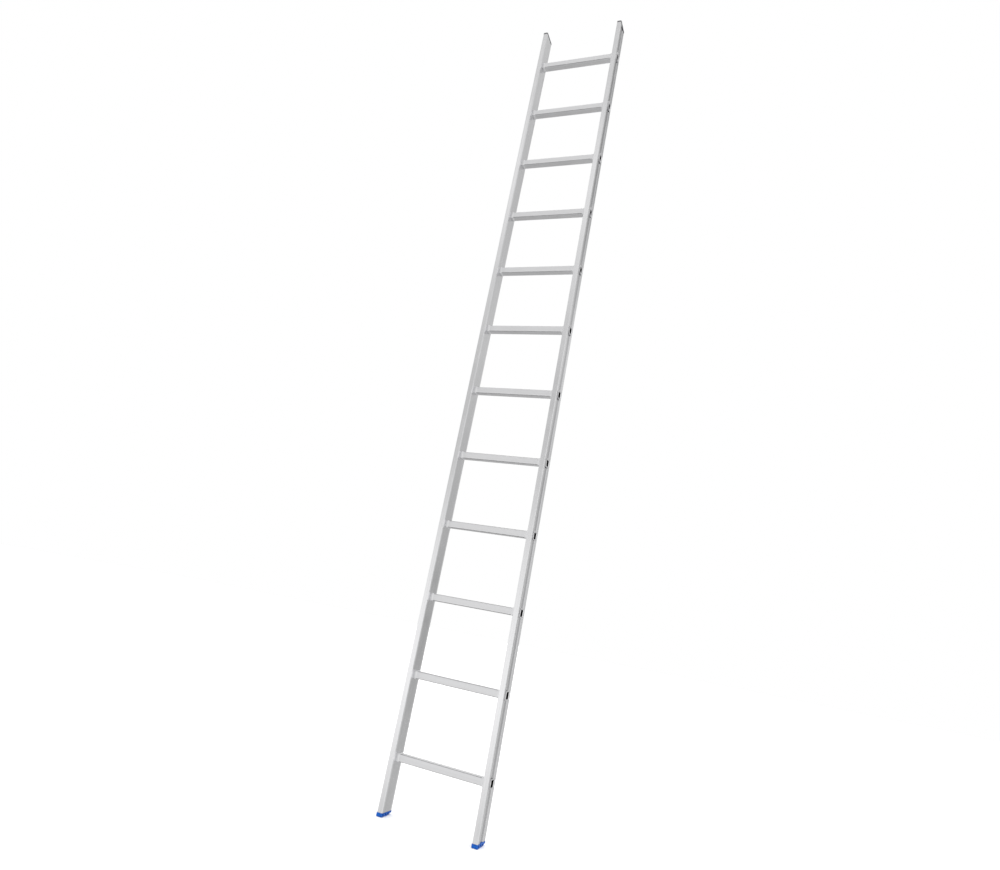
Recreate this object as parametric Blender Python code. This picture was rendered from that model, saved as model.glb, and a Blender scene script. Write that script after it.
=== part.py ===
"""Single-section leaning ladder: two hollow rails, twelve swaged tube rungs, two feet, two end caps.

Metres, +Z up the rails, +X across the ladder, -Y towards the person who climbs.
The origin is on the ground, midway between the soles and midway through the rails' depth.
"""

from math import atan2, cos, pi, radians, sin, sqrt, tan

import bmesh
import bpy

# Driving dimensions
RUNG_COUNT = 12
RUNG_PITCH = 0.280
LADDER_WIDTH = 0.380  # outside to outside of the rails
RAIL_WIDTH = 0.020
RAIL_DEPTH = 0.068
RAIL_BELOW = 0.178  # rail end to the lowest rung's centre
RAIL_ABOVE = 0.176  # highest rung's centre to the rail end
FOOT_HEIGHT = 0.0125
CAP_HEIGHT = 0.009
GAP = 0.0003  # between neighbouring pieces

# Rail section
RAIL_WALL = 0.0014
RAIL_CORNER = 0.0014
RECESS_DEPTH = 0.003  # channel down the middle of the outer face
RECESS_WEB = 0.026
RECESS_MOUTH = 0.031
GROOVE_FROM_EDGE = 0.0052
GROOVE_WIDTH = 0.0014
GROOVE_DEPTH = 0.0007

# Rung section and its swaged ends
RUNG_HEIGHT = 0.026
RUNG_DEPTH = 0.030
RUNG_CORNER = 0.0034
RUNG_WALL = 0.0014
BEAD_WIDTH = 0.012
BEAD_RISE = 0.0020
BEAD_SLOPE = 0.0020  # length of the bead's run-out at either side
FLARE_SIZE = 0.0040  # how far the flare spreads beyond the tube all round
FLARE_PROUD = 0.0030  # how far it stands out beyond the rail
FLARE_RIM = 0.0014  # thickness of the flare's edge
MOUTH_DEPTH = 0.0034  # length of the flare's bell mouth

# Feet and end caps
FOOT_LIP = 0.0016  # how far the foot stands proud of the rail
FOOT_PLAN_RADIUS = 0.0035
FOOT_TOE_RADIUS = 0.0045
FOOT_SIDE_RADIUS = 0.0025
SOLE_FLAT = 0.030  # length of the front part of the sole, before it curves up
SOLE_RADIUS = 0.110  # the rear of the sole curves up, to suit a leaning ladder
POCKET_COUNT = 4
POCKET_SPACING = 0.0175
POCKET_DEPTH = 0.0025
POCKET_LENGTH = 0.0085
POCKET_TOP = 0.0022  # below the foot's upper edge
POCKET_FLOOR = 0.0020  # above the sole
POCKET_HEIGHT = 0.0062  # where the sole leaves room for it
CAP_LIP = 0.0010
CAP_PLAN_RADIUS = 0.0050
CAP_ROUND = 0.0045  # radius of the cap's upper edges
PLUG_LENGTH = 0.026
PLUG_OVERLAP = 0.002  # how far the plug runs into the foot or cap that it joins

# Fineness of the round parts
CORNER_STEPS = 2
SOLE_STEPS = 4
TOE_STEPS = 3
CAP_STEPS = 3
LEAST_RADIUS = 0.0005
SHARP_ANGLE = radians(35)

# Places that follow from them
RAIL_BOTTOM = FOOT_HEIGHT + GAP
LOWEST_RUNG = RAIL_BOTTOM + RAIL_BELOW
RAIL_LENGTH = RAIL_BELOW + (RUNG_COUNT - 1) * RUNG_PITCH + RAIL_ABOVE
RAIL_TOP = RAIL_BOTTOM + RAIL_LENGTH
RAIL_X = (LADDER_WIDTH - RAIL_WIDTH) / 2
WEB_X = LADDER_WIDTH / 2 - RECESS_DEPTH  # outer surface of the channel's floor
INNER_FACE_X = LADDER_WIDTH / 2 - RAIL_WIDTH
SIDES = {"left": -1, "right": 1}

ALUMINIUM = dict(colour=(0.80, 0.81, 0.82), roughness=0.34, metallic=1.0)
BLUE_PLASTIC = dict(colour=(0.012, 0.115, 0.56), roughness=0.42, metallic=0.0)
DARK_PLASTIC = dict(colour=(0.055, 0.055, 0.060), roughness=0.48, metallic=0.0)


def clear_scene():
    for obj in list(bpy.data.objects):
        bpy.data.objects.remove(obj, do_unlink=True)


def make_material(name, colour, roughness, metallic):
    material = bpy.data.materials.new(name)
    material.use_nodes = True
    shader = material.node_tree.nodes["Principled BSDF"]
    shader.inputs["Base Color"].default_value = (*colour, 1.0)
    shader.inputs["Roughness"].default_value = roughness
    shader.inputs["Metallic"].default_value = metallic
    return material


def arc(centre, radius, start, end, steps):
    """Points on a circle between two angles in degrees, both ends included."""
    angles = [radians(start + (end - start) * i / steps) for i in range(steps + 1)]
    return [(centre[0] + radius * cos(a), centre[1] + radius * sin(a)) for a in angles]


def rounded_rectangle(width, height, radius):
    """Anticlockwise outline about the origin, from the lower right corner."""
    x = width / 2 - radius
    y = height / 2 - radius
    corners = ((x, -y, -90), (x, y, 0), (-x, y, 90), (-x, -y, 180))
    return [
        point
        for cx, cy, start in corners
        for point in arc((cx, cy), radius, start, start + 90, CORNER_STEPS)
    ]


def rail_outline(inset=0.0, groove_depth=0.0):
    """Rail section about its own centre, +x outwards; the inset follows the channel's shoulders."""
    x = RAIL_WIDTH / 2 - inset
    y = RAIL_DEPTH / 2 - inset
    radius = max(RAIL_CORNER - inset, LEAST_RADIUS)
    slope = atan2(RECESS_DEPTH, (RECESS_MOUTH - RECESS_WEB) / 2)
    web = RECESS_WEB / 2 + inset * tan(slope / 2)
    mouth = RECESS_MOUTH / 2 + inset * tan(slope / 2)
    groove = RAIL_DEPTH / 2 - GROOVE_FROM_EDGE

    def corner(sx, sy, start):
        return arc((sx * (x - radius), sy * (y - radius)), radius, start, start + 90, CORNER_STEPS)

    def groove_at(side, centre, way):
        ends = (centre - way * GROOVE_WIDTH / 2, centre, centre + way * GROOVE_WIDTH / 2)
        return [(side * (x - d), v) for d, v in zip((0.0, groove_depth, 0.0), ends)]

    recess = [(x, -mouth), (x - RECESS_DEPTH, -web), (x - RECESS_DEPTH, web), (x, mouth)]
    outer_face = groove_at(1, -groove, 1) + recess + groove_at(1, groove, 1)
    inner_face = groove_at(-1, groove, -1) + groove_at(-1, -groove, -1)
    outer_side = corner(1, -1, -90) + outer_face + corner(1, 1, 0)
    return outer_side + corner(-1, 1, 90) + inner_face + corner(-1, -1, 180)


def loft(bm, rings, closed=False):
    """Skins a row of rings of equally many points; an open row gets a face at each end."""
    loops = [[bm.verts.new(point) for point in ring] for ring in rings]
    pairs = list(zip(loops, loops[1:] + loops[:1])) if closed else list(zip(loops, loops[1:]))
    for lower, upper in pairs:
        for i in range(len(lower)):
            j = (i + 1) % len(lower)
            bm.faces.new((lower[i], lower[j], upper[j], upper[i]))
    if not closed:
        bm.faces.new(reversed(loops[0]))
        bm.faces.new(loops[-1])


def finish_mesh(bm, name):
    """Turns the faces outwards, smooths the round parts and returns the mesh."""
    bmesh.ops.recalc_face_normals(bm, faces=bm.faces)
    mesh = bpy.data.meshes.new(name)
    bm.to_mesh(mesh)
    bm.free()
    mesh.shade_smooth()
    mesh.set_sharp_from_angle(angle=SHARP_ANGLE)
    return mesh


def level(outline, z):
    return [(x, y, z) for x, y in outline]


def prism_mesh(name, outline, bottom, top):
    bm = bmesh.new()
    loft(bm, [level(outline, bottom), level(outline, top)])
    return finish_mesh(bm, name)


def add_object(name, mesh, parent, material=None, location=(0, 0, 0), turn=0.0):
    """Adds a mesh object turned about Z; one with no material is a helper and isn't rendered."""
    obj = bpy.data.objects.new(name, mesh)
    bpy.context.scene.collection.objects.link(obj)
    obj.parent = parent
    obj.location = location
    obj.rotation_euler = (0, 0, turn)
    if material is None:
        obj.hide_render = True
        obj.display_type = "WIRE"
    elif not mesh.materials:
        mesh.materials.append(material)
    return obj


def add_boolean(obj, other, operation):
    modifier = obj.modifiers.new(operation.lower() + "_" + other.name, "BOOLEAN")
    modifier.operation = operation
    modifier.solver = "EXACT"
    modifier.object = other


def side_turn(side):
    """The section is the same front and rear, so the left side is the right side turned by half."""
    return 0.0 if side > 0 else pi


# Rails


def rail_mesh():
    outside = rail_outline(groove_depth=GROOVE_DEPTH)
    inside = rail_outline(inset=RAIL_WALL)
    bm = bmesh.new()
    rings = [level(outside, 0), level(outside, RAIL_LENGTH), level(inside, RAIL_LENGTH), level(inside, 0)]
    loft(bm, rings, closed=True)
    return finish_mesh(bm, "rail")


def rung_hole_mesh():
    """Bars across the whole ladder, one at each rung."""
    outline = rounded_rectangle(RUNG_DEPTH + 2 * GAP, RUNG_HEIGHT + 2 * GAP, RUNG_CORNER + GAP)
    reach = LADDER_WIDTH
    bm = bmesh.new()
    for i in range(RUNG_COUNT):
        z = LOWEST_RUNG + i * RUNG_PITCH
        loft(bm, [[(x, y, z + dz) for y, dz in outline] for x in (-reach, reach)])
    return finish_mesh(bm, "rung_holes")


def add_rails(parent, material):
    holes = add_object("rung_holes", rung_hole_mesh(), parent)
    mesh = rail_mesh()
    for name, side in SIDES.items():
        place = (side * RAIL_X, 0, RAIL_BOTTOM)
        rail = add_object(name + "_rail", mesh, parent, material, place, side_turn(side))
        add_boolean(rail, holes, "DIFFERENCE")


# Rungs


def rung_ring(x, growth):
    """The rung's outline at x, grown all round."""
    radius = max(RUNG_CORNER + growth, LEAST_RADIUS)
    outline = rounded_rectangle(RUNG_DEPTH + 2 * growth, RUNG_HEIGHT + 2 * growth, radius)
    return [(x, y, z) for y, z in outline]


def rung_end_stations():
    """(x, growth) along the outside of the tube's +x end, then round its flare to the bore."""
    bead_out = INNER_FACE_X - GAP
    bead_in = bead_out - BEAD_WIDTH
    rim_back = LADDER_WIDTH / 2 + GAP
    tip = LADDER_WIDTH / 2 + FLARE_PROUD
    bead = [
        (bead_in, 0.0),
        (bead_in + BEAD_SLOPE, BEAD_RISE),
        (bead_out - BEAD_SLOPE, BEAD_RISE),
        (bead_out, 0.0),
    ]
    flare = [
        (rim_back, 0.0),
        (rim_back, FLARE_SIZE),
        (rim_back + FLARE_RIM, FLARE_SIZE),
        (tip, FLARE_SIZE / 2),
        (tip - MOUTH_DEPTH, -RUNG_WALL),
    ]
    return bead + flare


def rung_mesh():
    right_end = rung_end_stations()
    left_end = [(-x, growth) for x, growth in reversed(right_end)]
    bm = bmesh.new()
    loft(bm, [rung_ring(*station) for station in left_end + right_end], closed=True)
    return finish_mesh(bm, "rung")


def add_rungs(parent, material):
    mesh = rung_mesh()
    for i in range(RUNG_COUNT):
        place = (0, 0, LOWEST_RUNG + i * RUNG_PITCH)
        add_object(f"rung_{i + 1:02d}", mesh, parent, material, place)


# Feet and end caps


def plug_mesh():
    """The part of a foot or cap that is pushed into the rail, from its middle at z = 0."""
    return prism_mesh("plug", rail_outline(inset=RAIL_WALL + GAP), -PLUG_LENGTH / 2, PLUG_LENGTH / 2)


def add_plug(obj, side, middle, parent):
    """Joins a plug whose middle is at the given height to a foot or cap."""
    place = (side * RAIL_X, 0, middle)
    plug = add_object(obj.name + "_plug", plug_mesh(), parent, None, place, side_turn(side))
    add_boolean(obj, plug, "UNION")


def foot_size():
    return RAIL_WIDTH + 2 * FOOT_LIP, RAIL_DEPTH + 2 * FOOT_LIP


def sole_height(y):
    """Height of the sole at y: flat in front, then an arc of a circle."""
    beyond = max(y + foot_size()[1] / 2 - SOLE_FLAT, 0.0)
    return SOLE_RADIUS - sqrt(SOLE_RADIUS**2 - beyond**2)


def foot_side_mesh():
    """The foot's side view, with a round toe and the sole curving up behind, drawn out across x."""
    width, depth = foot_size()
    front, rear = -depth / 2, depth / 2
    toe = arc((front + FOOT_TOE_RADIUS, FOOT_TOE_RADIUS), FOOT_TOE_RADIUS, 180, 270, TOE_STEPS)
    curve_length = depth - SOLE_FLAT
    sole_ys = [rear - curve_length * (1 - i / SOLE_STEPS) for i in range(SOLE_STEPS + 1)]
    sole = [(y, sole_height(y)) for y in sole_ys]
    side_view = toe + sole + [(rear, 2 * FOOT_HEIGHT), (front, 2 * FOOT_HEIGHT)]
    bm = bmesh.new()
    loft(bm, [[(x, y, z) for y, z in side_view] for x in (-width, width)])
    return finish_mesh(bm, "foot_side")


def foot_front_mesh():
    """The foot's front view, with its lower long edges rounded, drawn out along y."""
    width, depth = foot_size()
    outline = rounded_rectangle(width, 4 * FOOT_HEIGHT, FOOT_SIDE_RADIUS)
    bm = bmesh.new()
    loft(bm, [[(x, y, z + 2 * FOOT_HEIGHT) for x, z in outline] for y in (depth, -depth)])
    return finish_mesh(bm, "foot_front")


def pocket_mesh():
    """Boxes that cut the grip pockets into both sides of both feet, clear of the curving sole."""
    outer = foot_size()[0] / 2
    top = FOOT_HEIGHT - POCKET_TOP
    first = -(POCKET_COUNT - 1) * POCKET_SPACING / 2
    bm = bmesh.new()
    for rail_side in SIDES.values():
        for face in (-1, 1):
            near, far = outer - POCKET_DEPTH, outer + POCKET_DEPTH
            left, right = sorted(rail_side * RAIL_X + face * x for x in (near, far))
            for i in range(POCKET_COUNT):
                front = first + i * POCKET_SPACING - POCKET_LENGTH / 2
                rear = front + POCKET_LENGTH
                bottom = max(top - POCKET_HEIGHT, sole_height(rear) + POCKET_FLOOR)
                corners = [(left, front), (right, front), (right, rear), (left, rear)]
                loft(bm, [level(corners, bottom), level(corners, top)])
    return finish_mesh(bm, "foot_pockets")


def add_feet(parent, material):
    plan = prism_mesh("foot", rounded_rectangle(*foot_size(), FOOT_PLAN_RADIUS), 0, FOOT_HEIGHT)
    side_view, front_view = foot_side_mesh(), foot_front_mesh()
    pockets = add_object("foot_pockets", pocket_mesh(), parent)
    for name, side in SIDES.items():
        place = (side * RAIL_X, 0, 0)
        foot = add_object(name + "_foot", plan, parent, material, place)
        add_boolean(foot, add_object(name + "_foot_side", side_view, parent, None, place), "INTERSECT")
        add_boolean(foot, add_object(name + "_foot_front", front_view, parent, None, place), "INTERSECT")
        add_plug(foot, side, FOOT_HEIGHT - PLUG_OVERLAP + PLUG_LENGTH / 2, parent)
        add_boolean(foot, pockets, "DIFFERENCE")


def cap_mesh():
    """Cap with round corners and an upper edge that rolls over in a quarter circle."""
    width, depth = RAIL_WIDTH + 2 * CAP_LIP, RAIL_DEPTH + 2 * CAP_LIP
    rings = [level(rounded_rectangle(width, depth, CAP_PLAN_RADIUS), GAP)]
    for reach, z in arc((0, CAP_HEIGHT - CAP_ROUND), CAP_ROUND, 0, 90, CAP_STEPS):
        inset = CAP_ROUND - reach
        radius = max(CAP_PLAN_RADIUS - inset, LEAST_RADIUS)
        rings.append(level(rounded_rectangle(width - 2 * inset, depth - 2 * inset, radius), z))
    bm = bmesh.new()
    loft(bm, rings)
    return finish_mesh(bm, "cap")


def add_caps(parent, material):
    mesh = cap_mesh()
    for name, side in SIDES.items():
        cap = add_object(name + "_cap", mesh, parent, material, (side * RAIL_X, 0, RAIL_TOP))
        add_plug(cap, side, RAIL_TOP + PLUG_OVERLAP - PLUG_LENGTH / 2, parent)


def main():
    clear_scene()
    ladder = bpy.data.objects.new("ladder", None)
    bpy.context.scene.collection.objects.link(ladder)
    aluminium = make_material("aluminium", **ALUMINIUM)
    add_rails(ladder, aluminium)
    add_rungs(ladder, aluminium)
    add_feet(ladder, make_material("blue_plastic", **BLUE_PLASTIC))
    add_caps(ladder, make_material("dark_plastic", **DARK_PLASTIC))


main()
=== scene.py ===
"""Looks of the leaning ladder: finished meshes, materials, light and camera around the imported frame.

Metres, +Z up the rails, +X across the ladder, -Y towards the person who climbs.
"""

from math import atan2, ceil, cos, degrees, pi, radians, sin, sqrt, tan

import bmesh
import bpy
from mathutils import Matrix, Vector


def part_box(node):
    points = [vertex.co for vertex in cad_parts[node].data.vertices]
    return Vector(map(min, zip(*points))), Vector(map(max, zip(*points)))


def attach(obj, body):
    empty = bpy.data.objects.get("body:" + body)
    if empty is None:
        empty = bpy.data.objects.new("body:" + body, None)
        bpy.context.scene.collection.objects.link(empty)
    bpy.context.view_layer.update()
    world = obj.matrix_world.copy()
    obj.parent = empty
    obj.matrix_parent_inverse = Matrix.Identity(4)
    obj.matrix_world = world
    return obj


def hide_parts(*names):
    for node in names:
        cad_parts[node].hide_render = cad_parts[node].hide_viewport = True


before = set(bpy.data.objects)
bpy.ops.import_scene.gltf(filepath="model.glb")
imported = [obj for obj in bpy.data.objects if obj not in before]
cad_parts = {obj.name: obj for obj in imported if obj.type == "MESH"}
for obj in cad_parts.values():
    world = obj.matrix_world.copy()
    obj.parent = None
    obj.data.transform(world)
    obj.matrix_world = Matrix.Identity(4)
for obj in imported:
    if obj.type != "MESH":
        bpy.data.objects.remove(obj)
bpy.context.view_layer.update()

SIDES = {"left": -1, "right": 1}
RUNGS = sorted(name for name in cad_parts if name.startswith("rung_"))
GAP = 0.0003  # between neighbouring pieces
SHARP_ANGLE = radians(40)
LEAST_FILLET = 0.00002  # stands for a corner that has no rounding
LEAST_RADIUS = 0.0005
ARC_STEP = radians(9)  # finest turn from one point of a round stretch to the next

# Light of the studio: stops are (degrees above the horizon, radiance), and each sector is
# (bearing from +Y towards +X, half width in degrees, its stops). The stops were balanced
# for the tones that the rails and rungs take on along their height from this camera.
BRIGHTEST = 1.6
SURROUND = ((-60, 0.75), (-20, 0.95), (10, 1.00), (30, 0.85), (50, 0.70), (70, 1.00))
FRONT_LEFT = (
    (-40, 0.60), (-14, 0.72), (-8, 1.05), (0, 0.98), (6, 0.88), (12, 0.66), (20, 0.56),
    (27, 0.66), (33, 0.80), (38, 0.98), (42, 0.70), (50, 0.64), (70, 1.00),
)
BEHIND = (
    (-40, 0.60), (-13, 0.66), (-7, 0.60), (0, 0.66), (6, 0.66), (12, 0.52), (18, 0.62),
    (24, 0.82), (29, 0.56), (35, 0.34), (46, 0.20), (60, 0.30), (75, 1.00),
)
BEHIND_RIGHT = (
    (-40, 0.50), (-14, 0.48), (-8, 0.42), (0, 0.32), (8, 0.44), (20, 0.54), (35, 0.58), (43, 0.68),
    (75, 1.00),
)
BEHIND_LEFT = ((-50, 0.42), (-35, 0.26), (-22, 0.44), (-8, 0.85), (10, 1.00), (40, 0.60), (70, 1.00))
SECTORS = (
    (-158, 40, FRONT_LEFT),
    (40, 24, BEHIND_RIGHT),
    (-30, 20, BEHIND_LEFT),
    (14, 8, BEHIND),
)

# Rail section, about its own centre
WALL = 0.0014
RAIL_CORNER = 0.0014
RECESS_DEPTH = 0.003
RECESS_WEB = 0.026
RECESS_MOUTH = 0.031
RECESS_FILLET = 0.0009
CROWN = 0.0005  # how far one band beside the channel bulges: in front on the right, behind on the left
CROWN_RADIUS = 0.028
FLOOR_SLACK = 0.0003  # faces from this far below the channel's floor outwards belong to it
GROOVE_FROM_EDGE = 0.0052
GROOVE_WIDTH = 0.0015
GROOVE_DEPTH = 0.0008
GROOVE_FILLET = 0.00025
DEBURR = 0.00025  # chamfer at the sawn ends

# Rung section and its swaged ends
RUNG_HEIGHT = 0.026
RUNG_DEPTH = 0.030
RUNG_CORNER = 0.0034
TREAD_RIBS = 5
TREAD_WIDTH = 0.0195
TREAD_DEPTH = 0.0003
BEAD_WIDTH = 0.012
BEAD_RISE = 0.0020
BEAD_RUN_OUT = 0.03  # length over which the tread's ribs fade towards the bead
BEAD_FULLNESS = 0.9  # below 1 makes the bead's back broader
BEAD_STEPS = 18
RIB_STEPS = 10
FLARE_SIZE = 0.0040  # how far the flare spreads beyond the tube all round
FLARE_RIM = 0.0009  # radius of the flare's edge
FLARE_MOUTH = 0.0034  # radius of the bell mouth
FLARE_CORNER = 0.0100
BORE_BRIGHT = 0.0024  # depth to which the bore keeps the metal's own tone, before the painted shade sets in
BORE_DARK = 0.0036  # depth at which the painted shade inside the bore is at its darkest

# Feet and end caps
FOOT_PLAN_RADIUS = 0.0040
FOOT_TOE_RADIUS = 0.0036
FOOT_SIDE_RADIUS = 0.0025
FOOT_TOP_RADIUS = 0.0008
SOLE_FLAT = 0.030
SOLE_RADIUS = 0.110
SOLE_GROOVES = 5
SOLE_GROOVE_PITCH = 0.0052
SOLE_GROOVE_WIDTH = 0.0016
SOLE_GROOVE_DEPTH = 0.0008
POCKET_COUNT = 4
POCKET_SPACING = 0.0175
POCKET_DEPTH = 0.0040
POCKET_LENGTH = 0.0085
POCKET_HEIGHT = 0.0062
POCKET_TOP = 0.0022
POCKET_FLOOR = 0.0020
POCKET_CORNER = 0.0014
PANEL_MARGIN = 0.0028  # border round the sunk panel in the foot's front face
PANEL_DEPTH = 0.0005
PANEL_REACH = 0.01  # how far the panel's cutter stands out in front of the foot
SOLE_CUTTER_DROP = 0.001  # how far the sole grooves' cutter reaches below the sole
SOLE_GROOVE_TAPER = 0.6  # width of a groove's floor, as a share of its mouth
FOOT_SIDE_STEPS = 24
FOOT_TOP_STEPS = 4
FOOT_BOTTOM_STEPS = 8
SOFT_EDGE = 0.0002
SOFT_EDGE_ANGLE = radians(50)
CAP_PLAN_RADIUS = 0.0050
CAP_ROUND = 0.0045
CAP_CROWN = 0.0003
CAP_CROWN_RINGS = (0.3, 0.6, 0.9)  # as shares of the way from the rolled edge to the middle
PLUG_OVERLAP = 0.002  # how far the plug runs into the foot or cap that it joins

# Finishes, and tones with painted shade: (darkest, lightest) tone
RAIL_TONES = ((0.83, 0.83, 0.84), (0.91, 0.91, 0.92))
# Painted shade: the channel's floor and shoulders are darker than the rail's faces, for the shade in the
# recess.
CHANNEL_SHADE_TONES = ((0.58, 0.58, 0.59), (0.68, 0.68, 0.69))
RUNG_TONES = ((0.86, 0.86, 0.87), (0.92, 0.92, 0.93))
MOUTH_TONE = (0.80, 0.80, 0.81)
# Painted shade: the dark tone deep inside the rung's bore.
BORE_SHADE_TONE = (0.012, 0.012, 0.013)
BLUE_TONES = ((0.0, 0.065, 0.36), (0.0, 0.135, 0.60))
DARK_TONES = ((0.070, 0.068, 0.076), (0.110, 0.107, 0.118))
FLOOR_TONES = ((0.93, 0.93, 0.93), (0.95, 0.95, 0.95))
NOISE_LOW = 0.3  # noise mostly lies between these two
NOISE_HIGH = 0.7
GRAIN = 1400.0  # pebbles per metre in the plastic's skin

# Camera and floor
CAMERA_PLACE = (0.9767, -2.3408, 0.6789)
CAMERA_HEADING = radians(23.15)
CAMERA_PITCH = radians(16.01)
CAMERA_ROLL = radians(11.08)
LENS = 24.064
SENSOR_WIDTH = 36.0
FLOOR_SIZE = 40
FLOOR_DROP = 0.0002
OVERHEAD_STRENGTH = 2.4
OVERHEAD_SPREAD = 60


# Outlines


def offset_corners(corners, inset):
    """Moves every corner of an anticlockwise outline inwards by inset; a corner is (x, y, radius)."""
    moved = []
    for i, (x, y, radius) in enumerate(corners):
        before = Vector((x, y)) - Vector(corners[i - 1][:2])
        after = Vector(corners[(i + 1) % len(corners)][:2]) - Vector((x, y))
        before.normalize()
        after.normalize()
        inwards = Vector((-before.y - after.y, before.x + after.x)) / (1 + before.dot(after))
        turn = before.x * after.y - before.y * after.x
        radius = max(radius - inset, 0.0) if turn > 0 else radius + max(inset, -radius)
        moved.append((x + inwards.x * inset, y + inwards.y * inset, radius))
    return moved


def round_corner(corner, before, after, steps):
    """Points of the arc that rounds one corner."""
    place = Vector(corner[:2])
    back = (Vector(before[:2]) - place).normalized()
    ahead = (Vector(after[:2]) - place).normalized()
    half = back.angle(ahead) / 2
    radius = max(corner[2], LEAST_FILLET)
    centre = place + (back + ahead).normalized() * (radius / sin(half))
    start = place + back * (radius / tan(half)) - centre
    end = place + ahead * (radius / tan(half)) - centre
    first = atan2(start.y, start.x)
    sweep = (atan2(end.y, end.x) - first + pi) % (2 * pi) - pi
    angles = [first + sweep * i / steps for i in range(steps + 1)]
    return [(centre.x + radius * cos(a), centre.y + radius * sin(a)) for a in angles]


def corner_steps(corners):
    """How many steps each corner's arc takes, from how far it turns."""
    steps = []
    for i, corner in enumerate(corners):
        back = Vector(corner[:2]) - Vector(corners[i - 1][:2])
        ahead = Vector(corners[(i + 1) % len(corners)][:2]) - Vector(corner[:2])
        steps.append(max(2, ceil(back.angle(ahead) / ARC_STEP)))
    return steps


def rounded(corners, inset=0.0):
    """The outline through the corners, each rounded by its radius, moved inwards by inset."""
    moved = offset_corners(corners, inset)
    points = []
    for i, steps in enumerate(corner_steps(corners)):
        points += round_corner(moved[i], moved[i - 1], moved[(i + 1) % len(moved)], steps)
    return points


def rectangle(width, height, radius):
    x = width / 2
    y = height / 2
    return [(x, -y, radius), (x, y, radius), (-x, y, radius), (-x, -y, radius)]


def turned_points(centre, radius, start, end):
    """Points along an arc between two angles in degrees."""
    steps = ceil(abs(radians(end - start)) / ARC_STEP)
    angles = [radians(start + (end - start) * i / steps) for i in range(steps + 1)]
    return [(centre[0] + radius * cos(a), centre[1] + radius * sin(a)) for a in angles]


# Meshes


def skin(bm, rings, closed=False):
    """Skins a row of rings of equally many points; an open row gets a face at each end."""
    loops = [[bm.verts.new(point) for point in ring] for ring in rings]
    pairs = list(zip(loops, loops[1:] + loops[:1])) if closed else list(zip(loops, loops[1:]))
    for lower, upper in pairs:
        for i in range(len(lower)):
            j = (i + 1) % len(lower)
            bm.faces.new((lower[i], lower[j], upper[j], upper[i]))
    if not closed:
        bm.faces.new(reversed(loops[0]))
        bm.faces.new(loops[-1])


def mesh_from(bm, name):
    bmesh.ops.recalc_face_normals(bm, faces=bm.faces)
    mesh = bpy.data.meshes.new(name)
    bm.to_mesh(mesh)
    bm.free()
    return mesh


def add_object(name, mesh):
    obj = bpy.data.objects.new(name, mesh)
    bpy.context.scene.collection.objects.link(obj)
    return obj


def carve(obj, other_mesh, operation):
    """Joins or cuts the object with another mesh and keeps the result as its mesh."""
    other = add_object("helper", other_mesh)
    modifier = obj.modifiers.new("carve", "BOOLEAN")
    modifier.operation = operation
    modifier.solver = "EXACT"
    modifier.object = other
    bpy.context.view_layer.update()
    evaluated = obj.evaluated_get(bpy.context.evaluated_depsgraph_get())
    obj.data = bpy.data.meshes.new_from_object(evaluated)
    obj.modifiers.clear()
    bpy.data.objects.remove(other)


def finish_piece(obj, material, node):
    """Shades the piece, gives it its material and ties it to the frame."""
    obj.data.materials.clear()
    obj.data.materials.append(material)
    obj.data.shade_smooth()
    obj.data.set_sharp_from_angle(angle=SHARP_ANGLE)
    weighted = obj.modifiers.new("even_shading", "WEIGHTED_NORMAL")
    weighted.keep_sharp = True
    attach(obj, "root")
    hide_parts(node)


def centre_of(node):
    low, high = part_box(node)
    return (low + high) / 2


# Rails


def rail_corners(width, depth, side):
    """Corners of the rail's section, anticlockwise, with its channel on the side away from the rungs."""
    x = width / 2
    y = depth / 2
    groove = y - GROOVE_FROM_EDGE
    half = GROOVE_WIDTH / 2
    web = RECESS_WEB / 2
    mouth = RECESS_MOUTH / 2
    crest = (groove + mouth) / 2

    def groove_at(face, centre, way):
        return [
            (face, centre - way * half, GROOVE_FILLET),
            (face - GROOVE_DEPTH * (1 if face > 0 else -1), centre, GROOVE_FILLET),
            (face, centre + way * half, GROOVE_FILLET),
        ]

    shoulder = x - CROWN
    floor = x - RECESS_DEPTH
    channel = [(shoulder, -mouth), (floor, -web), (floor, web), (shoulder, mouth)]
    corners = [(x, -y, RAIL_CORNER)] + groove_at(shoulder, -groove, 1)
    corners += [(x, -crest, CROWN_RADIUS)]
    corners += [(cx, cy, RECESS_FILLET) for cx, cy in channel]
    corners += groove_at(shoulder, groove, 1) + [(x, y, RAIL_CORNER), (-x, y, RAIL_CORNER)]
    corners += groove_at(-x, groove, -1) + groove_at(-x, -groove, -1) + [(-x, -y, RAIL_CORNER)]
    return [(side * cx, side * cy, radius) for cx, cy, radius in corners]


def bore_corners(width, depth, side):
    """Corners of the rail's hollow: the same channel, without the fine grooves."""
    x = width / 2
    y = depth / 2
    web = RECESS_WEB / 2
    mouth = RECESS_MOUTH / 2
    floor = x - RECESS_DEPTH
    channel = [(x, -mouth), (floor, -web), (floor, web), (x, mouth)]
    corners = [(x, -y, RAIL_CORNER)] + [(cx, cy, RECESS_FILLET) for cx, cy in channel]
    corners += [(x, y, RAIL_CORNER), (-x, y, RAIL_CORNER), (-x, -y, RAIL_CORNER)]
    return [(side * cx, side * cy, radius) for cx, cy, radius in corners]


def level(outline, centre, z):
    return [(centre.x + x, centre.y + y, z) for x, y in outline]


def prism(name, outline, centre, bottom, top):
    bm = bmesh.new()
    skin(bm, [level(outline, centre, bottom), level(outline, centre, top)])
    return mesh_from(bm, name)


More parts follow.
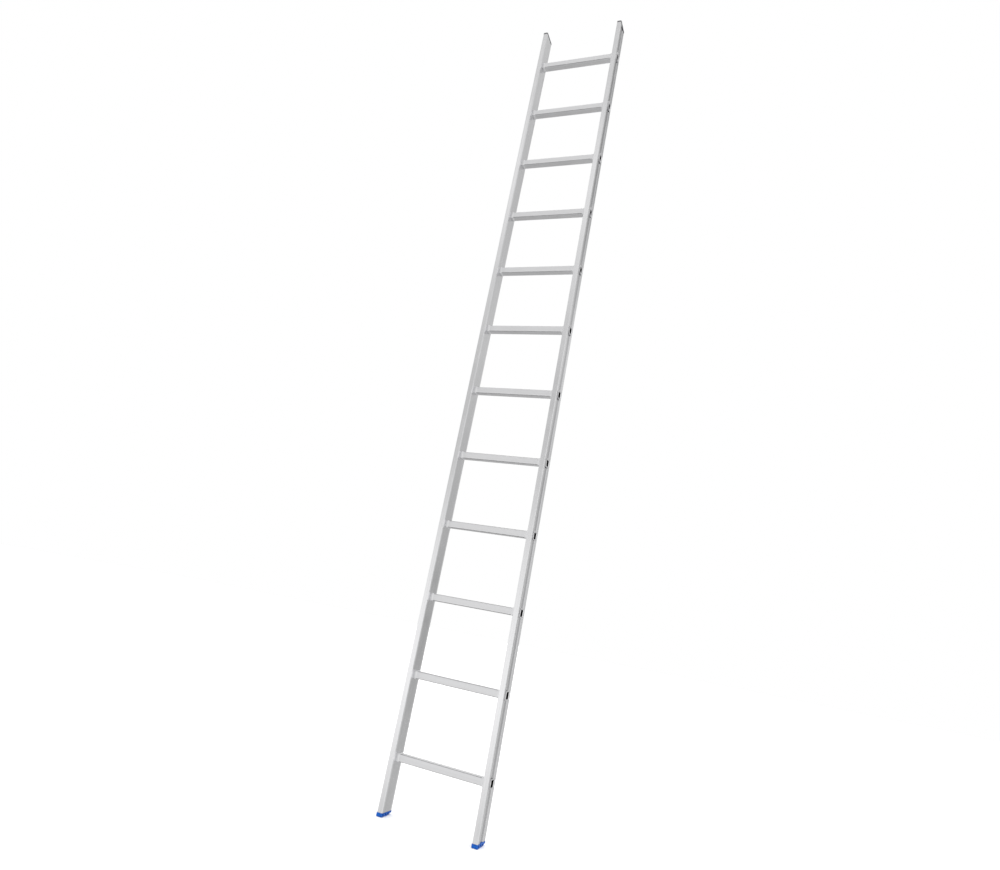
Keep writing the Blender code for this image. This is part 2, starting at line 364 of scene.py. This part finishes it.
def rung_hole_mesh(side):
    """Bars through one rail, one at each rung, a little larger than the tube."""
    outline = rounded(rectangle(RUNG_DEPTH + 2 * GAP, RUNG_HEIGHT + 2 * GAP, RUNG_CORNER + GAP))
    low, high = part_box("right_rail")
    reach = (low.x / 2, high.x * 2)
    bm = bmesh.new()
    for node in RUNGS:
        z = centre_of(node).z
        skin(bm, [[(side * x, y, z + dz) for y, dz in outline] for x in reach])
    return mesh_from(bm, "rung_holes")


def build_rail(name, side, material, channel_shade_material):
    node = name + "_rail"
    low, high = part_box(node)
    centre = (low + high) / 2
    size = high - low
    corners = rail_corners(size.x, size.y, side)
    outside = rounded(corners)
    eased = rounded(corners, DEBURR)
    rings = [
        level(eased, centre, low.z),
        level(outside, centre, low.z + DEBURR),
        level(outside, centre, high.z - DEBURR),
        level(eased, centre, high.z),
    ]
    bm = bmesh.new()
    skin(bm, rings)
    rail = add_object(name + "_rail_extrusion", mesh_from(bm, "rail"))
    hollow = rounded(bore_corners(size.x, size.y, side), WALL)
    carve(rail, prism("hollow", hollow, centre, low.z - size.x, high.z + size.x), "DIFFERENCE")
    carve(rail, rung_hole_mesh(side), "DIFFERENCE")
    finish_piece(rail, material, node)
    # The darker material on the channel paints the shade of the recess.
    rail.data.materials.append(channel_shade_material)
    mark_channel_shade(rail.data, side, centre, size.x / 2 - RECESS_DEPTH)


def mark_channel_shade(mesh, side, centre, floor_x):
    """Gives the channel's floor and shoulders their own darker finish, which paints the shade of the recess.
    """
    for face in mesh.polygons:
        middle = face.center - centre
        if side * middle.x > floor_x - FLOOR_SLACK and abs(middle.y) < RECESS_MOUTH / 2:
            face.material_index = 1


# Rungs


def tread_groove(offset):
    """How far the tread lies below the tube's top, at this offset from its middle line."""
    if abs(offset) > TREAD_WIDTH / 2:
        return 0.0
    return TREAD_DEPTH * (0.5 - 0.5 * cos(2 * pi * TREAD_RIBS * (offset / TREAD_WIDTH + 0.5)))


def rung_outline(growth, corner, ribs):
    """(y, z) outline of the tube: its top carries the ribbed tread, worn flat where ribs is 0."""
    half_y = RUNG_DEPTH / 2 + growth
    half_z = RUNG_HEIGHT / 2 + growth
    radius = max(min(corner, half_y, half_z), LEAST_RADIUS)
    y = half_y - radius
    z = half_z - radius
    points = turned_points((y, -z), radius, -90, 0) + turned_points((y, z), radius, 0, 90)
    count = TREAD_RIBS * RIB_STEPS
    for i in range(count + 1):
        share = 1 - 2 * i / count
        height = half_z - ribs * tread_groove(share * TREAD_WIDTH / 2)
        points.append((share * min(TREAD_WIDTH / 2, y), height))
    return points + turned_points((-y, z), radius, 90, 180) + turned_points((-y, -z), radius, 180, 270)


def rung_stations(inner_x, outer_x, tip_x):
    """(x, growth, corner, ribs) along the +x end: bead, neck, flare, bell mouth, bore."""
    bead_out = inner_x - GAP
    stations = [(bead_out - BEAD_WIDTH - BEAD_RUN_OUT, 0.0, RUNG_CORNER, 1.0)]
    for i in range(BEAD_STEPS + 1):
        share = i / BEAD_STEPS
        swell = sin(pi * share) ** BEAD_FULLNESS if 0 < share < 1 else 0.0
        rise = BEAD_RISE * swell
        x = bead_out - BEAD_WIDTH * (1 - share)
        stations.append((x, rise, RUNG_CORNER + rise, 1 - swell))
    stations.append((outer_x + GAP, 0.0, RUNG_CORNER, 0.0))
    rim_centre = (outer_x + GAP + FLARE_RIM, FLARE_SIZE - FLARE_RIM)
    for x, growth in turned_points(rim_centre, FLARE_RIM, 160, 40):
        stations.append(flare_station(x, growth))
    mouth_centre = (tip_x - FLARE_MOUTH, FLARE_MOUTH - WALL)
    for x, growth in turned_points(mouth_centre, FLARE_MOUTH, 30, -90):
        stations.append(flare_station(x, growth))
    stations.append((mouth_centre[0] - BORE_DARK, -WALL, RUNG_CORNER - WALL, 0.0))
    return stations


def flare_station(x, growth):
    share = max(min(growth / FLARE_SIZE, 1.0), 0.0)
    corner = RUNG_CORNER + min(growth, 0.0) + (FLARE_CORNER - RUNG_CORNER) * share
    return (x, growth, corner, 0.0)


def build_rung(node, material, bore_shade_material):
    centre = centre_of(node)
    tip_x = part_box(node)[1].x
    low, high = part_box("right_rail")
    right_end = rung_stations(low.x, high.x, tip_x)
    left_end = [(-x, *rest) for x, *rest in reversed(right_end)]
    rings = [
        [(x, centre.y + y, centre.z + z) for y, z in rung_outline(*shape)]
        for x, *shape in left_end + right_end
    ]
    bm = bmesh.new()
    skin(bm, rings, closed=True)
    rung = add_object(node + "_tube", mesh_from(bm, "rung"))
    finish_piece(rung, material, node)
    rung.data.materials.append(bore_shade_material)
    paint_bore_shade(rung.data, centre)


def paint_bore_shade(mesh, centre):
    """Gives the faces inside the bore the material that paints shade into it."""
    bore_y = RUNG_DEPTH / 2 - WALL / 2
    bore_z = RUNG_HEIGHT / 2 - WALL / 2
    for face in mesh.polygons:
        middle = face.center - centre
        if abs(middle.y) < bore_y and abs(middle.z) < bore_z:
            face.material_index = 1


# Feet and end caps


def plug_mesh(name, side, bottom, top):
    low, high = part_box(name + "_rail")
    centre = (low + high) / 2
    size = high - low
    outline = rounded(bore_corners(size.x, size.y, side), WALL + GAP)
    return prism("plug", outline, centre, bottom, top)


def sole_height(y, half_depth):
    """Height of the sole at y: flat in front, then an arc of a circle."""
    beyond = max(y + half_depth - SOLE_FLAT, 0.0)
    return SOLE_RADIUS - sqrt(SOLE_RADIUS**2 - beyond**2)


def foot_outline(half_width, half_depth):
    """(x, y, outward x, outward y) round the foot from above, the same left and right."""
    corner = FOOT_PLAN_RADIUS
    steps = ceil(pi / 2 / ARC_STEP)
    right = []
    for i in range(steps + 1):
        angle = -pi / 2 + pi / 2 * i / steps
        right.append((half_width - corner, -half_depth + corner, cos(angle), sin(angle)))
    for i in range(1, FOOT_SIDE_STEPS):
        y = (2 * i / FOOT_SIDE_STEPS - 1) * (half_depth - corner)
        right.append((half_width - corner, y, 1.0, 0.0))
    for i in range(steps + 1):
        angle = pi / 2 * i / steps
        right.append((half_width - corner, half_depth - corner, cos(angle), sin(angle)))
    points = [(x + corner * nx, y + corner * ny, nx, ny) for x, y, nx, ny in right]
    return points + [(-x, y, -nx, ny) for x, y, nx, ny in reversed(points)]


def foot_ring(outline, centre, half_depth, turn):
    """A ring round the foot's lower edge, rolled under by the given turn of its rounding."""
    ring = []
    for x, y, nx, ny in outline:
        end_radius = FOOT_TOE_RADIUS if ny < 0 else FOOT_SIDE_RADIUS
        radius = FOOT_SIDE_RADIUS * nx**2 + end_radius * ny**2
        inset = radius * (1 - cos(turn))
        px = x - nx * inset
        py = y - ny * inset
        z = sole_height(py, half_depth) + radius * (1 - sin(turn))
        ring.append((centre.x + px, centre.y + py, z))
    return ring


def foot_block(centre, half_width, half_depth, top):
    """Foot block: rounded upper edge, upright walls, lower edge rolled under, curved sole."""
    outline = foot_outline(half_width, half_depth)
    rings = []
    for i in range(FOOT_TOP_STEPS + 1):
        turn = pi / 2 * (1 - i / FOOT_TOP_STEPS)
        inset = FOOT_TOP_RADIUS * (1 - cos(turn))
        z = top - FOOT_TOP_RADIUS * (1 - sin(turn))
        rings.append([(centre.x + x - nx * inset, centre.y + y - ny * inset, z) for x, y, nx, ny in outline])
    for i in range(FOOT_BOTTOM_STEPS + 1):
        rings.append(foot_ring(outline, centre, half_depth, pi / 2 * i / FOOT_BOTTOM_STEPS))
    bm = bmesh.new()
    loops = [[bm.verts.new(point) for point in ring] for ring in rings]
    count = len(outline)
    for upper, lower in zip(loops, loops[1:]):
        for i in range(count):
            j = (i + 1) % count
            bm.faces.new((upper[i], lower[i], lower[j], upper[j]))
    bm.faces.new(loops[0])
    sole = loops[-1]
    for i in range(count // 2 - 1):
        bm.faces.new((sole[i], sole[i + 1], sole[count - 2 - i], sole[count - 1 - i]))
    return mesh_from(bm, "foot")


def panel_mesh(centre, half_width, half_depth, top):
    """Cutter for the shallow panel sunk in the foot's front face."""
    width = 2 * (half_width - PANEL_MARGIN)
    bottom = FOOT_TOE_RADIUS
    ceiling = top - PANEL_MARGIN
    outline = rounded(rectangle(width, ceiling - bottom, POCKET_CORNER))
    middle = (ceiling + bottom) / 2
    front = centre.y - half_depth
    ends = (front - PANEL_REACH, front + PANEL_DEPTH)
    bm = bmesh.new()
    skin(bm, [[(centre.x + x, y, middle + z) for x, z in outline] for y in ends])
    return mesh_from(bm, "panel")


def pocket_mesh(centre, half_width, half_depth, top):
    """Round-cornered cutters for the grip pockets in both sides of a foot, clear of the sole."""
    first = -(POCKET_COUNT - 1) * POCKET_SPACING / 2
    depths = (half_width - POCKET_DEPTH, half_width + POCKET_DEPTH)
    ceiling = top - POCKET_TOP
    bm = bmesh.new()
    for i in range(POCKET_COUNT):
        y = first + i * POCKET_SPACING
        sole = sole_height(y + POCKET_LENGTH / 2, half_depth)
        floor = max(ceiling - POCKET_HEIGHT, sole + POCKET_FLOOR)
        height = ceiling - floor
        outline = rounded(rectangle(POCKET_LENGTH, height, min(POCKET_CORNER, height / 3)))
        z = (ceiling + floor) / 2
        for face in (-1, 1):
            skin(bm, [[(centre.x + face * x, y + dy, z + dz) for dy, dz in outline] for x in depths])
    return mesh_from(bm, "pockets")


def sole_groove_mesh(centre, half_width, half_depth):
    """Bars that cut shallow grip grooves across the flat of the sole."""
    first = -half_depth + FOOT_TOE_RADIUS + SOLE_GROOVE_WIDTH
    reach = (centre.x - 2 * half_width, centre.x + 2 * half_width)
    mouth = SOLE_GROOVE_WIDTH / 2
    bed = mouth * SOLE_GROOVE_TAPER
    shape = [(-mouth, -SOLE_CUTTER_DROP), (mouth, -SOLE_CUTTER_DROP)]
    shape += [(bed, SOLE_GROOVE_DEPTH), (-bed, SOLE_GROOVE_DEPTH)]
    bm = bmesh.new()
    for i in range(SOLE_GROOVES):
        y = first + i * SOLE_GROOVE_PITCH
        skin(bm, [[(x, y + dy, z) for dy, z in shape] for x in reach])
    return mesh_from(bm, "sole_grooves")


def soften_edges(obj):
    bevel = obj.modifiers.new("soft_edges", "BEVEL")
    bevel.width = SOFT_EDGE
    bevel.segments = 2
    bevel.limit_method = "ANGLE"
    bevel.angle_limit = SOFT_EDGE_ANGLE
    bevel.use_clamp_overlap = True


def build_foot(name, side, material):
    node = name + "_foot"
    low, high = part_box(node)
    centre = (low + high) / 2
    half_width = (high.x - low.x) / 2
    half_depth = (high.y - low.y) / 2
    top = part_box(name + "_rail")[0].z - GAP
    foot = add_object(name + "_foot_block", foot_block(centre, half_width, half_depth, top))
    carve(foot, plug_mesh(name, side, top - PLUG_OVERLAP, high.z), "UNION")
    carve(foot, pocket_mesh(centre, half_width, half_depth, top), "DIFFERENCE")
    carve(foot, panel_mesh(centre, half_width, half_depth, top), "DIFFERENCE")
    carve(foot, sole_groove_mesh(centre, half_width, half_depth), "DIFFERENCE")
    soften_edges(foot)
    finish_piece(foot, material, node)


def build_cap(name, side, material):
    node = name + "_cap"
    low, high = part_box(node)
    centre = (low + high) / 2
    size = high - low
    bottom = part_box(name + "_rail")[1].z + GAP
    corners = rectangle(size.x, size.y, CAP_PLAN_RADIUS)
    rings = [level(rounded(corners, DEBURR), centre, bottom)]
    rings.append(level(rounded(corners), centre, bottom + DEBURR))
    edge_z = high.z - CAP_CROWN - CAP_ROUND
    for reach, z in turned_points((0.0, edge_z), CAP_ROUND, 0, 90):
        rings.append(level(rounded(corners, CAP_ROUND - reach), centre, z))
    for share in CAP_CROWN_RINGS:
        inset = CAP_ROUND + share * (size.x / 2 - CAP_ROUND)
        z = high.z - CAP_CROWN * (1 - share) ** 2
        rings.append(level(rounded(corners, inset), centre, z))
    bm = bmesh.new()
    skin(bm, rings)
    cap = add_object(name + "_cap_block", mesh_from(bm, "cap"))
    carve(cap, plug_mesh(name, side, low.z, bottom + PLUG_OVERLAP), "UNION")
    finish_piece(cap, material, node)


# Materials


def add_node(tree, kind, inputs=None, **settings):
    """Adds a node, sets it up, and fills its inputs with values or with other nodes' outputs."""
    made = tree.nodes.new(kind)
    for key, value in settings.items():
        setattr(made, key, value)
    for key, value in (inputs or {}).items():
        if isinstance(value, bpy.types.NodeSocket):
            tree.links.new(value, made.inputs[key])
        else:
            made.inputs[key].default_value = value
    return made


def noise(tree, scale, detail=2.0, roughness=0.5, shift=0.0):
    """Noise in the piece's own space; scale is in cells per metre along x, y and z."""
    place = add_node(tree, "ShaderNodeTexCoord").outputs["Object"]
    where = {"Vector": place, "Scale": scale, "Location": (shift, shift, shift)}
    mapped = add_node(tree, "ShaderNodeMapping", where)
    settings = {"Vector": mapped.outputs["Vector"], "Scale": 1.0, "Detail": detail, "Roughness": roughness}
    return add_node(tree, "ShaderNodeTexNoise", settings).outputs["Fac"]


def remap(tree, value, low, high, to_low, to_high):
    settings = {"Value": value, "From Min": low, "From Max": high}
    settings.update({"To Min": to_low, "To Max": to_high})
    return add_node(tree, "ShaderNodeMapRange", settings).outputs["Result"]


def spread(tree, noise_value, to_low, to_high):
    """Noise spread between two values."""
    return remap(tree, noise_value, NOISE_LOW, NOISE_HIGH, to_low, to_high)


def node_math(tree, operation, value):
    return add_node(tree, "ShaderNodeMath", {0: value}, operation=operation).outputs[0]


def combine(tree, operation, first, second):
    return add_node(tree, "ShaderNodeMath", {0: first, 1: second}, operation=operation).outputs[0]


def add(tree, first, second):
    return combine(tree, "ADD", first, second)


def times(tree, first, second):
    return combine(tree, "MULTIPLY", first, second)


def new_material(name, **values):
    material = bpy.data.materials.new(name)
    material.use_nodes = True
    shader = material.node_tree.nodes["Principled BSDF"]
    for key, value in values.items():
        shader.inputs[key.replace("_", " ")].default_value = value
    return material, material.node_tree, shader


def tint(tree, factor, dark, light):
    """A colour between dark and light, by factor."""
    ramp = add_node(tree, "ShaderNodeValToRGB", {"Fac": factor})
    ramp.color_ramp.elements[0].color = (*dark, 1.0)
    ramp.color_ramp.elements[1].color = (*light, 1.0)
    return ramp.outputs["Color"]


def aluminium(name, axis, dark, light, roughness):
    """Extruded aluminium, mill finish: fine die lines along the axis, cloudy tone, light scuffs."""
    material, tree, shader = new_material(name, Metallic=1.0)
    fine = [900.0] * 3
    broad = [140.0] * 3
    scuff_scale = [60.0] * 3
    fine[axis] = 3.0
    broad[axis] = 1.2
    scuff_scale[axis] = 420.0
    lines = noise(tree, fine, detail=3.0, roughness=0.6)
    streaks = noise(tree, broad, detail=2.0, shift=3.7)
    clouds = noise(tree, (14.0, 14.0, 14.0), detail=4.0, roughness=0.6, shift=9.1)
    scuffs = remap(tree, noise(tree, scuff_scale, detail=3.0, shift=5.3), 0.62, 0.72, 0.0, 1.0)
    tone = add(tree, times(tree, streaks, 0.5), times(tree, clouds, 0.5))
    tone = combine(tree, "SUBTRACT", tone, times(tree, scuffs, 0.12))
    colour = tint(tree, spread(tree, tone, 0.0, 1.0), dark, light)
    tree.links.new(colour, shader.inputs["Base Color"])
    line_gloss = spread(tree, lines, -0.03, 0.03)
    gloss = add(tree, line_gloss, spread(tree, clouds, -0.04, 0.05))
    gloss = add(tree, gloss, times(tree, scuffs, 0.08))
    tree.links.new(add(tree, gloss, roughness), shader.inputs["Roughness"])
    height = add(tree, lines, times(tree, streaks, 0.6))
    bump = add_node(tree, "ShaderNodeBump", {"Height": height, "Strength": 0.25, "Distance": 0.00006})
    tree.links.new(bump.outputs["Normal"], shader.inputs["Normal"])
    return material


def bore_painted_shade():
    """Inside of a tube: the metal's own tone at the flared mouth, then painted shade, dark further in."""
    material, tree, shader = new_material("rung_bore_painted_shade", Metallic=1.0)
    place = add_node(tree, "ShaderNodeTexCoord").outputs["Object"]
    x = add_node(tree, "ShaderNodeSeparateXYZ", {"Vector": place}).outputs["X"]
    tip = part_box(RUNGS[0])[1].x
    depth = combine(tree, "SUBTRACT", tip, node_math(tree, "ABSOLUTE", x))
    clouds = noise(tree, (30.0, 120.0, 120.0), detail=4.0, roughness=0.6)
    shade = remap(tree, depth, BORE_BRIGHT, BORE_DARK, 0.0, 1.0)
    shade = add(tree, shade, spread(tree, clouds, -0.02, 0.02))
    colour = tint(tree, shade, MOUTH_TONE, BORE_SHADE_TONE)
    tree.links.new(colour, shader.inputs["Base Color"])
    tree.links.new(spread(tree, clouds, 0.30, 0.42), shader.inputs["Roughness"])
    return material


def moulded(name, dark, light, roughness, specular=0.5):
    """Moulded plastic: pebbled skin, cloudy tone, scuffs that lighten and dull it."""
    material, tree, shader = new_material(name, Metallic=0.0, Specular_IOR_Level=specular)
    pebbles = noise(tree, (GRAIN, GRAIN, GRAIN), detail=2.0)
    clouds = noise(tree, (60.0, 60.0, 60.0), detail=4.0, roughness=0.6, shift=2.3)
    scuffs = remap(tree, noise(tree, (500.0, 90.0, 260.0), detail=3.0, shift=6.1), 0.60, 0.72, 0.0, 1.0)
    tone = add(tree, spread(tree, clouds, 0.2, 0.8), times(tree, scuffs, 0.15))
    tree.links.new(tint(tree, tone, dark, light), shader.inputs["Base Color"])
    gloss = add(tree, spread(tree, clouds, -0.05, 0.05), times(tree, scuffs, 0.12))
    tree.links.new(add(tree, gloss, roughness), shader.inputs["Roughness"])
    bump = add_node(tree, "ShaderNodeBump", {"Height": pebbles, "Strength": 0.3, "Distance": 0.00008})
    tree.links.new(bump.outputs["Normal"], shader.inputs["Normal"])
    return material


# Studio


def add_floor():
    bm = bmesh.new()
    bmesh.ops.create_grid(bm, x_segments=1, y_segments=1, size=FLOOR_SIZE)
    floor = add_object("floor", mesh_from(bm, "floor"))
    floor.location.z = -FLOOR_DROP
    material, tree, shader = new_material("paper_floor", Roughness=0.9, Specular_IOR_Level=0.1)
    grain = noise(tree, (300.0, 300.0, 300.0))
    colour = tint(tree, grain, *FLOOR_TONES)
    tree.links.new(colour, shader.inputs["Base Color"])
    floor.data.materials.append(material)
    floor.visible_glossy = False


def grey_ramp(tree, value, stops):
    """Light by elevation: stops are (degrees above the horizon, radiance)."""
    share = remap(tree, value, -90.0, 90.0, 0.0, 1.0)
    ramp = add_node(tree, "ShaderNodeValToRGB", {"Fac": share})
    elements = ramp.color_ramp.elements
    for _ in stops[2:]:
        elements.new(0.5)
    for element, (elevation, radiance) in zip(elements, stops):
        element.position = (elevation + 90) / 180
        element.color = (*[radiance / BRIGHTEST] * 3, 1.0)
    return times(tree, ramp.outputs["Color"], BRIGHTEST)


def sector_share(tree, level_direction, bearing, half_width):
    """1 within half the half width of a bearing, easing to 0 at one and a half times it."""
    towards = (sin(radians(bearing)), cos(radians(bearing)), 0.0)
    vectors = {0: level_direction, 1: towards}
    near = add_node(tree, "ShaderNodeVectorMath", vectors, operation="DOT_PRODUCT").outputs["Value"]
    outer = cos(radians(1.5 * half_width))
    inner = cos(radians(0.5 * half_width))
    limits = {"Value": near, "From Min": outer, "From Max": inner}
    return add_node(tree, "ShaderNodeMapRange", limits, interpolation_type="SMOOTHSTEP").outputs["Result"]


def mixed(tree, share, first, second):
    """first where share is 0, second where it is 1."""
    return add(tree, first, times(tree, share, combine(tree, "SUBTRACT", second, first)))


def add_world():
    """White backdrop; the light it gives comes from soft panels at several bearings."""
    world = bpy.data.worlds.new("studio")
    world.use_nodes = True
    tree = world.node_tree
    tree.nodes.clear()
    direction = add_node(tree, "ShaderNodeTexCoord").outputs["Generated"]
    parts = add_node(tree, "ShaderNodeSeparateXYZ", {"Vector": direction})
    elevation = times(tree, node_math(tree, "ARCSINE", parts.outputs["Z"]), degrees(1))
    level_part = {0: direction, 1: (1.0, 1.0, 0.0)}
    flat = add_node(tree, "ShaderNodeVectorMath", level_part, operation="MULTIPLY").outputs[0]
    flat = add_node(tree, "ShaderNodeVectorMath", {0: flat}, operation="NORMALIZE").outputs[0]
    radiance = grey_ramp(tree, elevation, SURROUND)
    for bearing, half_width, stops in SECTORS:
        share = sector_share(tree, flat, bearing, half_width)
        radiance = mixed(tree, share, radiance, grey_ramp(tree, elevation, stops))
    white = (1.0, 1.0, 1.0, 1.0)
    light = add_node(tree, "ShaderNodeBackground", {"Strength": radiance, "Color": white})
    backdrop = add_node(tree, "ShaderNodeBackground", {"Strength": 1.0, "Color": white})
    camera_ray = add_node(tree, "ShaderNodeLightPath").outputs["Is Camera Ray"]
    mix = {"Fac": camera_ray, 1: light.outputs[0], 2: backdrop.outputs[0]}
    mix = add_node(tree, "ShaderNodeMixShader", mix)
    add_node(tree, "ShaderNodeOutputWorld", {"Surface": mix.outputs[0]})
    bpy.context.scene.world = world


def add_overhead():
    """Wide soft light from above, that shows in no reflection."""
    lamp = bpy.data.lights.new("overhead", "SUN")
    lamp.energy = OVERHEAD_STRENGTH
    lamp.angle = radians(OVERHEAD_SPREAD)
    obj = add_object("overhead", lamp)
    obj.location = (0, 0, 5)
    obj.visible_glossy = False


def add_camera():
    data = bpy.data.cameras.new("camera")
    data.sensor_width = SENSOR_WIDTH
    data.lens = LENS
    camera = add_object("camera", data)
    heading = Matrix.Rotation(CAMERA_HEADING, 4, "Z")
    pitch = Matrix.Rotation(pi / 2 + CAMERA_PITCH, 4, "X")
    roll = Matrix.Rotation(CAMERA_ROLL, 4, "Z")
    camera.matrix_world = Matrix.Translation(CAMERA_PLACE) @ heading @ pitch @ roll
    bpy.context.scene.camera = camera


def build_ladder():
    rail_finish = aluminium("rail_aluminium", 2, *RAIL_TONES, 0.20)
    # The channel's darker tone is painted shade in the recess.
    channel_shade_finish = aluminium("rail_channel_painted_shade", 2, *CHANNEL_SHADE_TONES, 0.24)
    rung_finish = aluminium("rung_aluminium", 0, *RUNG_TONES, 0.46)
    # The bore's dark tone is painted shade inside the tube.
    bore = bore_painted_shade()
    blue = moulded("blue_plastic", *BLUE_TONES, 0.28, specular=0.30)
    dark = moulded("dark_plastic", *DARK_TONES, 0.5)
    for name, side in SIDES.items():
        build_rail(name, side, rail_finish, channel_shade_finish)
        build_foot(name, side, blue)
        build_cap(name, side, dark)
    for rung in RUNGS:
        build_rung(rung, rung_finish, bore)


def build_studio():
    bpy.context.scene.view_settings.view_transform = "Standard"
    add_floor()
    add_world()
    add_overhead()
    add_camera()


build_ladder()
build_studio()
